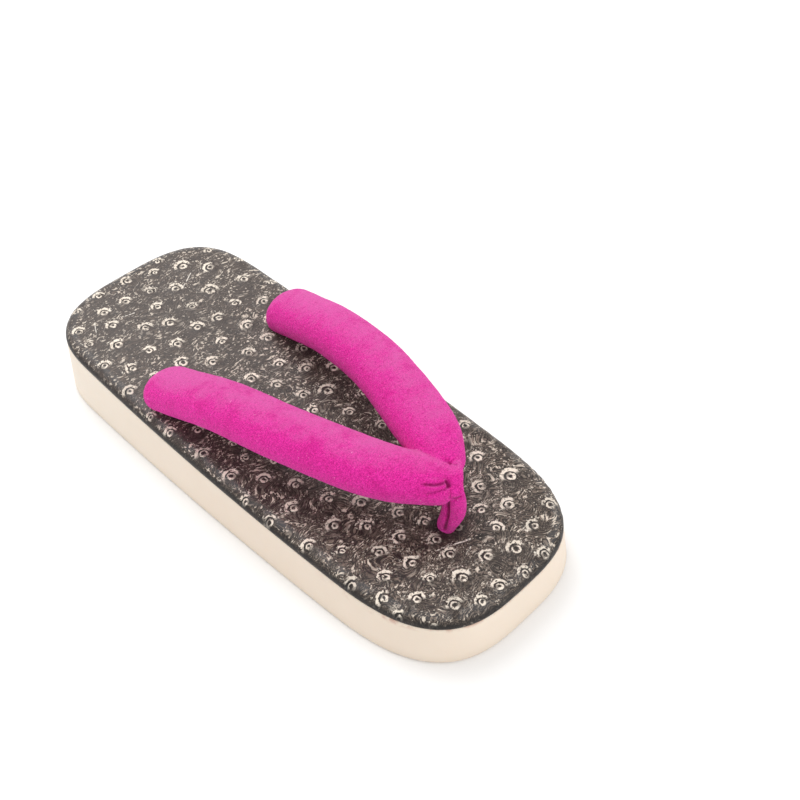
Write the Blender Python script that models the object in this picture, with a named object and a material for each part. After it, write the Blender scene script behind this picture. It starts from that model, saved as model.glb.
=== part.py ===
"""A thonged sandal with a flat wedge sole: foam sole, padded footbed, V-shaped stuffed straps and a toe thong.

The sandal stands on the floor at z = 0. The heel points to +Y and the toe to -Y, and x = 0 is its middle plane.
The origin is under the middle of its length. All sizes are in metres.
"""

import math

import bmesh
import bpy
from mathutils import Vector

# Clearance between pieces that meet
GAP = 0.0003

# Footbed and sole
FOOTBED_LENGTH = 0.240
HEEL_WIDTH = 0.0904
MIDDLE_WIDTH = 0.0974
TOE_WIDTH = 0.0893
HEEL_CURVE_LENGTH = 0.0397
TOE_CURVE_LENGTH = 0.0580
HEEL_SQUARENESS = 3.2
TOE_SQUARENESS = 3.15
HEEL_HEIGHT = 0.0301
TOE_HEIGHT = 0.0221
FOOTBED_DIP = 0.0013
FOOTBED_THICKNESS = 0.0040
RIM_ROLL = 0.0050
SIDE_FLARE = 0.0022
TOE_FLARE = 0.0026
HEEL_UNDERCUT = 0.0019
TREAD_EDGE_RADIUS = 0.0015

# Straps
STRAP_WIDTH = 0.0236
STRAP_THICKNESS = 0.0184
STRAP_RISE = 0.0228
STRAP_TILT = math.radians(-8.0)
REAR_END_LENGTH = 0.0088
FRONT_END_LENGTH = 0.0080

# Strap roots, the stubs that go down into the sole
ROOT_FROM_HEEL = 0.078
ROOT_FROM_MIDDLE = 0.0333
ROOT_WIDTH = 0.0060
ROOT_LENGTH = 0.0100
ROOT_DEPTH = 0.0060
ROOT_RISE = 0.0050

# Toe thong
THONG_FROM_TOE = 0.0374
THONG_LEG_RADIUS = 0.0035
THONG_LEG_SPACING = 0.0036
THONG_DEPTH = 0.0080
THONG_RISE = 0.0150
BAND_END_LENGTH = 0.0020

# Fineness of the meshes
END_CURVE_STEPS = 12
SIDE_STEPS = 10
RIM_STEPS = 4
TREAD_EDGE_STEPS = 3
STRAP_RINGS = 44
STRAP_SIDES = 26
THONG_SIDES = 32
ROOT_SIDES = 20
BAND_RINGS = 22
BAND_SIDES = 18

# The middle line and the section of one strap, from its rear end to the V. along is a share of the footbed's
# length from the heel, out a share of half its middle width, rise a share of STRAP_RISE above the footbed,
# and width and thickness are shares of the strap's own.
STRAP_STATIONS = (
    {"along": 0.290, "out": 0.701, "rise": 0.09, "width": 1.04, "thickness": 0.92},
    {"along": 0.363, "out": 0.669, "rise": 0.39, "width": 1.01, "thickness": 0.97},
    {"along": 0.462, "out": 0.611, "rise": 0.76, "width": 0.99, "thickness": 1.01},
    {"along": 0.587, "out": 0.513, "rise": 0.96, "width": 1.00, "thickness": 1.01},
    {"along": 0.729, "out": 0.301, "rise": 1.00, "width": 1.02, "thickness": 1.01},
    {"along": 0.848, "out": 0.030, "rise": 0.90, "width": 0.75, "thickness": 0.75},
)

# The band of the thong, from its front leg up the front of the V, over it and down behind. ahead is a share of
# THONG_LEG_SPACING towards the toe, from the thong's middle. rise is a share of STRAP_RISE above the footbed, and
# over is added to it, a share of half the strap's thickness. width and thickness are shares of the leg's.
BAND_STATIONS = (
    {"ahead": 0.50, "rise": 0.25, "over": 0.00, "width": 0.92, "thickness": 0.92},
    {"ahead": 0.53, "rise": 0.45, "over": 0.00, "width": 0.96, "thickness": 0.94},
    {"ahead": 0.60, "rise": 0.65, "over": 0.00, "width": 0.95, "thickness": 0.88},
    {"ahead": 0.66, "rise": 0.85, "over": 0.00, "width": 0.93, "thickness": 0.68},
    {"ahead": 0.40, "rise": 0.88, "over": 0.48, "width": 0.92, "thickness": 0.56},
    {"ahead": -0.25, "rise": 0.90, "over": 0.80, "width": 0.92, "thickness": 0.52},
    {"ahead": -1.00, "rise": 0.92, "over": 0.78, "width": 0.90, "thickness": 0.50},
    {"ahead": -1.40, "rise": 0.92, "over": 0.42, "width": 0.86, "thickness": 0.46},
)

SOLE_COLOUR = (0.82, 0.73, 0.61, 1.0)
FOOTBED_COLOUR = (0.045, 0.036, 0.032, 1.0)
PLUSH_COLOUR = (0.80, 0.03, 0.33, 1.0)


def clear_scene():
    """Remove every object, so that the sandal is alone."""
    for old in list(bpy.data.objects):
        bpy.data.objects.remove(old, do_unlink=True)


def make_material(name, colour, roughness):
    """A plain non-metallic surface."""
    material = bpy.data.materials.new(name)
    material.use_nodes = True
    shader = material.node_tree.nodes["Principled BSDF"]
    shader.inputs["Base Color"].default_value = colour
    shader.inputs["Roughness"].default_value = roughness
    shader.inputs["Metallic"].default_value = 0.0
    return material


def add_object(name, mesh_points, faces, origin, material=None):
    """Make a closed object from world points and faces, with its own origin."""
    shape = bmesh.new()
    vertices = [shape.verts.new(Vector(point) - Vector(origin)) for point in mesh_points]
    for face in faces:
        shape.faces.new([vertices[index] for index in face])
    bmesh.ops.recalc_face_normals(shape, faces=shape.faces)
    mesh = bpy.data.meshes.new(name)
    shape.to_mesh(mesh)
    shape.free()
    mesh.shade_smooth()
    mesh.set_sharp_from_angle(angle=math.radians(40))
    piece = bpy.data.objects.new(name, mesh)
    piece.location = origin
    if material is not None:
        mesh.materials.append(material)
    bpy.context.scene.collection.objects.link(piece)
    return piece


def hide(helper):
    """Keep a cutter or a helper out of the finished sandal."""
    helper.hide_render = True
    helper.display_type = "WIRE"
    return helper


def add_boolean(piece, other, operation):
    """Cut another object from a piece, or join it to the piece."""
    modifier = piece.modifiers.new(f"{operation.lower()}_{other.name}", "BOOLEAN")
    modifier.operation = operation
    modifier.solver = "EXACT"
    modifier.object = other


def add_mirror(piece):
    """Add the other half, across the sandal's middle plane."""
    modifier = piece.modifiers.new("other_side", "MIRROR")
    modifier.use_axis = (True, False, False)
    modifier.merge_threshold = 0.00001


def heel_end():
    """The y of the footbed's heel end. The sole's toe reaches past the footbed's, and both together are centred."""
    return (FOOTBED_LENGTH + TOE_FLARE) / 2


def y_of(along):
    """The place along the sandal of a share of the footbed's length from the heel."""
    return heel_end() - FOOTBED_LENGTH * along


def thong_y():
    """The place of the thong's middle along the sandal."""
    return y_of(1) + THONG_FROM_TOE


def root_y():
    """The place of the strap roots' middle along the sandal."""
    return heel_end() - ROOT_FROM_HEEL


def footbed_height(y):
    """The height of the footbed's upper face: a straight fall from heel to toe, with a slight dip."""
    along = (heel_end() - y) / FOOTBED_LENGTH
    straight = HEEL_HEIGHT + (TOE_HEIGHT - HEEL_HEIGHT) * along
    return straight - FOOTBED_DIP * 4 * along * (1 - along)


def underside_height(y):
    """The height of the footbed's lower face."""
    return footbed_height(y) - FOOTBED_THICKNESS


def half_width(along):
    """Half the width of the footbed before its ends are rounded."""
    ends = (HEEL_WIDTH + (TOE_WIDTH - HEEL_WIDTH) * along) / 2
    belly = MIDDLE_WIDTH / 2 - (HEEL_WIDTH + TOE_WIDTH) / 4
    return ends + belly * 4 * along * (1 - along)


def outline(side=0.0, heel=0.0, toe=0.0):
    """Stations (y, half width) from heel to toe, drawn in from the footbed's edge by side, heel and toe."""
    stations = []
    heel_y = heel_end() - heel
    toe_y = y_of(1) + toe
    heel_curve = HEEL_CURVE_LENGTH - heel
    toe_curve = TOE_CURVE_LENGTH - toe

    def add_station(y, share):
        along = (heel_y - y) / (heel_y - toe_y)
        stations.append((y, (half_width(along) - side) * share))

    for step in range(END_CURVE_STEPS):
        angle = math.pi / 2 * step / END_CURVE_STEPS
        lengthwise = 1 - math.cos(angle) ** (2 / HEEL_SQUARENESS)
        add_station(heel_y - heel_curve * lengthwise, math.sin(angle) ** (2 / HEEL_SQUARENESS))
    straight = heel_y - heel_curve - (toe_y + toe_curve)
    for step in range(SIDE_STEPS):
        add_station(heel_y - heel_curve - straight * step / SIDE_STEPS, 1.0)
    for step in range(END_CURVE_STEPS + 1):
        angle = math.pi / 2 * (1 - step / END_CURVE_STEPS)
        lengthwise = 1 - abs(math.cos(angle)) ** (2 / TOE_SQUARENESS)
        add_station(toe_y + toe_curve * lengthwise, math.sin(angle) ** (2 / TOE_SQUARENESS))
    return stations


def slab(levels):
    """Points and faces of a slab. levels holds, from bottom to top, an outline and the height at each y.

    Each ring runs down the right side from the heel to the toe and back up the left side. The lower and the
    upper face are strips across the slab, so that they can follow a height that changes along it.
    """
    points = []
    faces = []
    count = len(levels[0][0])
    ring = 2 * count - 2
    for stations, height in levels:
        for y, half in stations:
            points.append((half, y, height(y)))
        for y, half in reversed(stations[1:-1]):
            points.append((-half, y, height(y)))
    for level in range(len(levels) - 1):
        for index in range(ring):
            following = (index + 1) % ring
            low = level * ring
            high = low + ring
            faces.append((low + index, low + following, high + following, high + index))
    for base in (0, (len(levels) - 1) * ring):
        for index in range(count - 1):
            right = (base + index, base + index + 1)
            left = (base + (ring - index) % ring, base + ring - index - 1)
            strip = [right[0], right[1], left[1], left[0]]
            faces.append(list(dict.fromkeys(strip)))
    return points, faces


def prism(ring, low, high):
    """Points and faces of an upright prism over a ring of (x, y), from height low to height high."""
    count = len(ring)
    points = [(x, y, low) for x, y in ring] + [(x, y, high) for x, y in ring]
    faces = [tuple(range(count)), tuple(range(2 * count - 1, count - 1, -1))]
    for index in range(count):
        following = (index + 1) % count
        faces.append((index, following, count + following, count + index))
    return points, faces


def thong_ring(clearance=0.0):
    """The two legs of the thong side by side, one behind the other, as one outline with a groove on each side."""
    offset = THONG_LEG_SPACING / 2
    radius = THONG_LEG_RADIUS
    ring = []
    for step in range(THONG_SIDES):
        angle = math.tau * step / THONG_SIDES
        reach = offset * abs(math.sin(angle)) + math.sqrt(radius**2 - (offset * math.cos(angle)) ** 2)
        reach += clearance
        ring.append((reach * math.cos(angle), thong_y() + reach * math.sin(angle)))
    return ring


def root_ring(clearance=0.0):
    """The oval section of a strap's root."""
    ring = []
    for step in range(ROOT_SIDES):
        angle = math.tau * step / ROOT_SIDES
        x = ROOT_FROM_MIDDLE + (ROOT_WIDTH / 2 + clearance) * math.cos(angle)
        ring.append((x, root_y() + (ROOT_LENGTH / 2 + clearance) * math.sin(angle)))
    return ring


def smooth_row(table, position):
    """A row read from a smooth curve through a table, with position counted in rows."""
    first = min(int(position), len(table) - 2)
    share = position - first
    values = {}
    for column in table[0]:
        inner = [row[column] for row in table]
        before = 2 * inner[0] - inner[1]
        after = 2 * inner[-1] - inner[-2]
        a, b, c, d = ([before] + inner + [after])[first : first + 4]
        curve = 2 * b + (c - a) * share
        curve += (2 * a - 5 * b + 4 * c - d) * share**2 + (3 * b - a - 3 * c + d) * share**3
        values[column] = curve / 2
    return values


def rounded_share(distance, length):
    """How much of its full size a rounded end has at a distance from its tip."""
    left = max(0.0, 1 - distance / length)
    return math.sqrt(1 - left**2)


def tube(centres, halves, end_lengths, outward_of, tilt, sides):
    """Points and faces of a closed tube with rounded ends.

    centres is its middle line, halves the half width and half thickness at each point, and outward_of gives the
    direction of the width from the direction of the line. tilt turns the section about the line.
    """
    travelled = [0.0]
    for before, after in zip(centres, centres[1:]):
        travelled.append(travelled[-1] + (after - before).length)
    last = len(centres) - 1
    points = []
    faces = []
    for index in range(1, last):
        along = (centres[index + 1] - centres[index - 1]).normalized()
        outward = outward_of(along)
        upward = outward.cross(along)
        wide = math.cos(tilt) * outward + math.sin(tilt) * upward
        thick = math.cos(tilt) * upward - math.sin(tilt) * outward
        share = rounded_share(travelled[index], end_lengths[0])
        share *= rounded_share(travelled[last] - travelled[index], end_lengths[1])
        for side in range(sides):
            angle = math.tau * side / sides
            across = wide * halves[index][0] * share * math.cos(angle)
            points.append(centres[index] + across + thick * halves[index][1] * share * math.sin(angle))
    for ring in range(last - 2):
        for side in range(sides):
            following = (side + 1) % sides
            low = ring * sides
            high = low + sides
            faces.append((low + side, low + following, high + following, high + side))
    first_tip = len(points)
    points.append(centres[0])
    last_tip = len(points)
    points.append(centres[last])
    final = (last - 2) * sides
    for side in range(sides):
        following = (side + 1) % sides
        faces.append((first_tip, following, side))
        faces.append((last_tip, final + side, final + following))
    return points, faces


def strap_shape():
    """Points and faces of the right strap. Its underside is flat where it lies on the footbed."""
    centres = []
    halves = []
    last_row = len(STRAP_STATIONS) - 1
    for step in range(STRAP_RINGS):
        # Rings lie closer together at the two rounded ends.
        position = last_row * (1 - math.cos(math.pi * step / (STRAP_RINGS - 1))) / 2
        row = smooth_row(STRAP_STATIONS, position)
        y = y_of(row["along"])
        height = footbed_height(y) + STRAP_RISE * row["rise"]
        centres.append(Vector((MIDDLE_WIDTH / 2 * row["out"], y, height)))
        halves.append((STRAP_WIDTH / 2 * row["width"], STRAP_THICKNESS / 2 * row["thickness"]))

    def outward_of(along):
        return Vector((-along.y, along.x, 0.0)).normalized()

    ends = (REAR_END_LENGTH, FRONT_END_LENGTH)
    points, faces = tube(centres, halves, ends, outward_of, STRAP_TILT, STRAP_SIDES)
    for point in points:
        point.z = max(point.z, footbed_height(point.y) + GAP)
    return points, faces


def band_shape(clearance=0.0):
    """Points and faces of the thong's band, which lies over the front of the V."""
    centres = []
    halves = []
    last_row = len(BAND_STATIONS) - 1
    for step in range(BAND_RINGS):
        row = smooth_row(BAND_STATIONS, last_row * step / (BAND_RINGS - 1))
        y = thong_y() - THONG_LEG_SPACING * row["ahead"]
        height = footbed_height(thong_y()) + STRAP_RISE * row["rise"] + STRAP_THICKNESS / 2 * row["over"]
        centres.append(Vector((0.0, y, height)))
        width = THONG_LEG_RADIUS * row["width"] + clearance
        halves.append((width, THONG_LEG_RADIUS * row["thickness"] + clearance))
    # The rounded ends reach further by the clearance too.
    centres[0] += (centres[0] - centres[1]).normalized() * clearance
    centres[-1] += (centres[-1] - centres[-2]).normalized() * clearance

    def outward_of(along):
        return Vector((1.0, 0.0, 0.0))

    ends = (BAND_END_LENGTH, BAND_END_LENGTH)
    return tube(centres, halves, ends, outward_of, 0.0, BAND_SIDES)


def make_sole(material):
    """The foam wedge, with a small radius round its tread and sockets for the thong and the roots."""
    levels = []
    for step in range(TREAD_EDGE_STEPS + 1):
        angle = math.pi / 2 * step / TREAD_EDGE_STEPS
        inset = TREAD_EDGE_RADIUS * (1 - math.sin(angle))
        height = TREAD_EDGE_RADIUS * (1 - math.cos(angle))
        stations = outline(inset - SIDE_FLARE, inset + HEEL_UNDERCUT, inset - TOE_FLARE)
        levels.append((stations, lambda y, height=height: height))
    levels.append((outline(), lambda y: underside_height(y) - GAP))
    points, faces = slab(levels)
    return add_object("sole", points, faces, (0.0, 0.0, 0.0), material)


def make_footbed(material):
    """The padded cover plate, whose rim rolls down to the sole."""
    levels = []
    for step in range(RIM_STEPS + 1):
        angle = math.pi / 2 * step / RIM_STEPS
        inset = RIM_ROLL * (1 - math.cos(angle))
        lift = FOOTBED_THICKNESS * math.sin(angle)
        levels.append((outline(inset, inset, inset), lambda y, lift=lift: underside_height(y) + lift))
    points, faces = slab(levels)
    return add_object("footbed", points, faces, (0.0, 0.0, underside_height(0.0)), material)


def make_straps(material, root, cutters):
    """Both straps as one solid: the right one is cut at the middle plane and mirrored, so they join in a V."""
    points, faces = strap_shape()
    origin = (0.0, thong_y(), footbed_height(thong_y()))
    straps = add_object("straps", points, faces, origin, material)
    shape = bmesh.new()
    shape.from_mesh(straps.data)
    everything = shape.verts[:] + shape.edges[:] + shape.faces[:]
    bmesh.ops.bisect_plane(
        shape, geom=everything, plane_co=(0, 0, 0), plane_no=(-1, 0, 0), clear_outer=True
    )
    shape.to_mesh(straps.data)
    shape.free()
    add_mirror(straps)
    add_boolean(straps, root, "UNION")
    for cutter in cutters:
        add_boolean(straps, cutter, "DIFFERENCE")
    return straps


def make_thong(material, low, high):
    """The loop: two legs from their socket in the sole up to the V, and the band that goes on over it."""
    points, faces = prism(thong_ring(), low, high)
    thong = add_object("toe_thong", points, faces, (0.0, thong_y(), low), material)
    points, faces = band_shape()
    band = hide(add_object("thong_band", points, faces, (0.0, 0.0, 0.0)))
    add_boolean(thong, band, "UNION")
    return thong


def make_leg_cutter(name, low, high):
    """A cutter a clearance larger than the thong's legs all round."""
    points, faces = prism(thong_ring(GAP), low, high)
    return hide(add_object(name, points, faces, (0.0, 0.0, 0.0)))


def make_band_cutter(name):
    """A cutter a clearance larger than the thong's band all round."""
    points, faces = band_shape(GAP)
    return hide(add_object(name, points, faces, (0.0, 0.0, 0.0)))


def make_root(name, low, high, clearance):
    """The right root and its mirror image."""
    points, faces = prism(root_ring(clearance), low, high)
    root = hide(add_object(name, points, faces, (0.0, 0.0, 0.0)))
    add_mirror(root)
    return root


def main():
    clear_scene()
    foam = make_material("cream_foam", SOLE_COLOUR, 0.55)
    cover = make_material("embossed_cover", FOOTBED_COLOUR, 0.45)
    plush = make_material("magenta_plush", PLUSH_COLOUR, 0.95)

    thong_floor = underside_height(thong_y()) - THONG_DEPTH
    thong_top = footbed_height(thong_y()) + THONG_RISE
    root_floor = underside_height(root_y()) - ROOT_DEPTH
    root_top = footbed_height(root_y()) + ROOT_RISE

    sole = make_sole(foam)
    footbed = make_footbed(cover)
    thong_hole = make_leg_cutter("thong_hole", thong_floor - GAP, thong_top)
    root_hole = make_root("root_hole", root_floor - GAP, root_top, GAP)
    for piece in (sole, footbed):
        add_boolean(piece, thong_hole, "DIFFERENCE")
        add_boolean(piece, root_hole, "DIFFERENCE")

    root = make_root("root", root_floor, root_top, 0.0)
    leg_pocket = make_leg_cutter("leg_pocket", footbed_height(thong_y()) + GAP, thong_top + GAP)
    make_straps(plush, root, (leg_pocket, make_band_cutter("band_groove")))
    make_thong(plush, thong_floor, thong_top)


main()
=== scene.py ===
"""The looks of a thonged wedge sandal: a cream foam wedge, an embossed cover and stuffed plush straps.

Everything is in metres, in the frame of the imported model: +Z up, the heel at +Y, the toe at -Y, and the
sandal's middle plane at x = 0. Each CAD solid is replaced by a finer piece of the same form.
"""

import math

import bpy
import numpy as np
from mathutils import Matrix, Vector, kdtree, noise


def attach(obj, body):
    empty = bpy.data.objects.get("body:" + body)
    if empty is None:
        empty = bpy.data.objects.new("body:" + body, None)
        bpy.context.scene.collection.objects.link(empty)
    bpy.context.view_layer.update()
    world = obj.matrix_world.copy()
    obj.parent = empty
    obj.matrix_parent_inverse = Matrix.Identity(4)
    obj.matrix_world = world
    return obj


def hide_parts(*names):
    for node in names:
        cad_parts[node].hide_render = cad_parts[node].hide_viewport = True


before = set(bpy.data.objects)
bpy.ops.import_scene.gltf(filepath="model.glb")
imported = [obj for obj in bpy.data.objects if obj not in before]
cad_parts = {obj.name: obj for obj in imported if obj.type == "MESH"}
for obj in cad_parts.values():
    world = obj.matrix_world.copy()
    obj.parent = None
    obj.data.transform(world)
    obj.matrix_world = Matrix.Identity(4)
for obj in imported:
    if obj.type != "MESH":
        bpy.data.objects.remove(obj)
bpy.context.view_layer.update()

# Sizes of the sandal, as in its CAD model
FOOTBED_LENGTH = 0.240
HEEL_WIDTH = 0.0904
MIDDLE_WIDTH = 0.0974
TOE_WIDTH = 0.0893
HEEL_CURVE_LENGTH = 0.0397
TOE_CURVE_LENGTH = 0.0580
HEEL_SQUARENESS = 3.2
TOE_SQUARENESS = 3.15
HEEL_HEIGHT = 0.0301
TOE_HEIGHT = 0.0221
FOOTBED_DIP = 0.0013
FOOTBED_THICKNESS = 0.0040
RIM_ROLL = 0.0050
SIDE_FLARE = 0.0022
TOE_FLARE = 0.0026
HEEL_UNDERCUT = 0.0019
TREAD_EDGE_RADIUS = 0.0015
STRAP_WIDTH = 0.0236
STRAP_THICKNESS = 0.0184
STRAP_RISE = 0.0228
STRAP_TILT = math.radians(-8)
REAR_END_LENGTH = 0.0088
FRONT_END_LENGTH = 0.0080
THONG_FROM_TOE = 0.0374
THONG_LEG_RADIUS = 0.0035
THONG_LEG_SPACING = 0.0036
PIECE_GAP = 0.0003


def table(columns, *rows):
    """The rows of a table whose columns have names."""
    return [dict(zip(columns, row)) for row in rows]


# Each strap's middle line and section, from its rear end to the nose of the V. along is a share of the
# footbed's length from the heel, out a share of half its middle width, and the rest are shares of the strap's
# own sizes. The left strap is a little fuller, and its nose laps over the right one's
RIGHT_STRAP = table(
    ("along", "out", "rise", "width", "thickness"),
    (0.288, 0.701, 0.09, 1.05, 0.93),
    (0.363, 0.669, 0.39, 1.02, 0.97),
    (0.462, 0.611, 0.76, 0.99, 1.01),
    (0.587, 0.513, 0.96, 1.00, 1.01),
    (0.729, 0.301, 1.00, 1.02, 1.01),
    (0.792, 0.156, 0.97, 0.83, 0.88),
    (0.832, 0.022, 0.87, 0.46, 0.66),
)
LEFT_STRAP = table(
    ("along", "out", "rise", "width", "thickness"),
    (0.290, 0.701, 0.09, 1.04, 0.92),
    (0.363, 0.671, 0.39, 1.03, 0.97),
    (0.462, 0.619, 0.76, 1.04, 1.01),
    (0.587, 0.524, 0.96, 1.06, 1.01),
    (0.729, 0.311, 0.99, 1.06, 1.01),
    (0.797, 0.121, 0.96, 0.92, 0.93),
    (0.850, -0.070, 0.92, 0.76, 0.72),
)

# The band that binds the noses of the straps, from inside the right one down to the thong: points on its
# middle line, and half its width and thickness there, all in millimetres
BAND_STATIONS = table(
    ("x", "y", "z", "width", "thickness"),
    (9.4, -72.8, 45.6, 2.4, 1.7),
    (6.0, -77.6, 48.1, 2.8, 1.9),
    (2.7, -81.0, 48.8, 2.9, 2.1),
    (-0.1, -83.2, 46.9, 3.0, 2.2),
    (-1.3, -84.5, 44.8, 3.1, 2.2),
    (-0.7, -82.2, 42.8, 2.8, 1.9),
)
BAND_FACING = Vector((-0.50, -0.48, 0.72))
BAND_END_LENGTH = 0.003

# The loop of the thong, from the foot of the front leg up into the nose of the V and down to the foot of the
# rear leg. ahead counts in leg spacings towards the toe, rise from the footbed and across to the right are in
# millimetres, and width and thickness are shares of a leg's radius
THONG_STATIONS = table(
    ("ahead", "rise", "across", "width", "thickness"),
    (-0.04, -5.0, -1.2, 0.74, 0.80),
    (0.04, -1.0, -1.2, 0.86, 0.86),
    (0.20, 2.0, -1.0, 0.94, 0.94),
    (0.58, 5.5, -0.5, 1.00, 0.98),
    (0.90, 9.5, 0.0, 1.00, 0.96),
    (0.98, 14.0, 0.0, 0.98, 0.92),
    (0.84, 18.0, 0.0, 0.94, 0.86),
    (0.48, 20.8, 0.0, 0.90, 0.80),
    (-0.05, 21.0, 0.0, 0.86, 0.76),
    (-0.30, 18.0, 0.0, 0.88, 0.80),
    (-0.10, 14.0, 0.0, 0.94, 0.90),
    (0.05, 10.0, 0.0, 0.96, 0.94),
    (-0.02, 5.5, -0.7, 0.97, 0.95),
    (-0.20, 1.5, -1.2, 0.92, 0.94),
    (-0.26, -1.0, -1.4, 0.82, 0.88),
    (-0.26, -5.0, -1.4, 0.72, 0.80),
)
THONG_END_LENGTH = 0.002

# Creases of the plush, drawn in one by one: points on the surface in millimetres, and how wide and deep each
# is
CREASES = (
    {"points": ((-12.4, -75.6, 51.2), (-9.3, -78.2, 50.9), (-7.8, -79.8, 50.6), (-5.9, -80.9, 50.4),
                (-3.2, -81.8, 50.2)), "width": 0.70, "depth": 0.75},
    {"points": ((-13.5, -78.5, 48.4), (-8.4, -81.2, 48.3), (-5.0, -82.3, 48.2), (-3.0, -82.5, 48.0)),
     "width": 0.70, "depth": 0.55},
    {"points": ((-8.4, -75.4, 52.4), (-4.8, -78.9, 51.9), (-2.4, -81.0, 50.8)), "width": 0.85, "depth": 0.30},
    {"points": ((-3.2, -80.7, 50.8), (-2.6, -81.8, 50.1), (-3.0, -83.2, 48.0)), "width": 0.95, "depth": 1.2},
    {"points": ((2.6, -73.9, 51.6), (4.2, -76.6, 51.3), (5.0, -78.1, 50.9), (6.0, -79.1, 50.3)),
     "width": 0.45, "depth": 0.60},
    {"points": ((0.2, -78.2, 52.2), (-1.6, -80.6, 51.3), (-3.2, -83.0, 47.0)), "width": 1.10, "depth": 0.35},
    {"points": ((2.6, -85.0, 44.8), (-0.8, -86.0, 44.0), (-3.6, -84.6, 43.2)), "width": 0.75, "depth": 0.80},
    {"points": ((-3.0, -81.9, 50.0), (-3.1, -82.3, 46.0), (-3.4, -82.7, 42.0), (-3.3, -83.1, 33.0),
                (-3.4, -83.0, 28.0), (-3.3, -82.1, 22.5)), "width": 0.70, "depth": 0.95},
    {"points": ((1.9, -83.6, 41.0), (2.1, -84.9, 38.0), (1.3, -85.4, 31.5), (0.4, -84.4, 26.0)),
     "width": 0.70, "depth": 0.28},
)
# Each crease fades in and out over a share of its length, and starts and ends part of the way up that step. A
# number of widths away the cloth rises in a ridge, whose height is a share of the crease's depth. A crease
# works no deeper under the surface than its reach
CREASE_FADE_IN = 0.40
CREASE_START_STEP = 0.12
CREASE_FADE_OUT = 0.12
CREASE_END_STEP = 0.3
CREASE_RIDGE = 0.14
CREASE_RIDGE_WIDTHS = 2.3
CREASE_REACH = 3.5

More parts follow.
